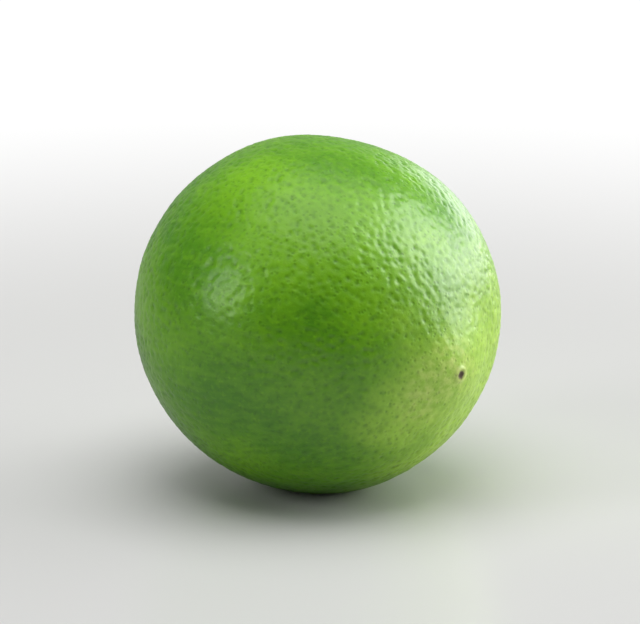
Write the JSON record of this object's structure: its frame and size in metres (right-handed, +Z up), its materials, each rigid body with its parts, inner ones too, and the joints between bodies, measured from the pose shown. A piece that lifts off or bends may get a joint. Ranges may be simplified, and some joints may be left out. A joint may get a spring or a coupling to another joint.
{
  "type": "lime",
  "caption": "Whole fresh green lime lying on its side, with a low blossom-end nipple, a pitted waxy peel and a small woody calyx at the stem end.",
  "frame": {"origin": "centre of the small pressed spot that the fruit rests on, on the supporting surface", "axes": "+Z up; +X along the fruit's long axis towards the blossom end, which dips 8 degrees below the horizontal; the stem end points to -X"},
  "size_m": [0.0579, 0.0557, 0.0535],
  "materials": {
    "peel": "fresh citrus peel: leathery rind with fine oil-gland pits and a thin satin wax, mid green paling to yellow-green at the blossom end",
    "bark": "dry olive-brown calyx with a pale cut stalk, matte and finely grained"
  },
  "bodies": {
    "root": {"fruit": "peel", "calyx": "bark"}
  },
  "joints": []
}
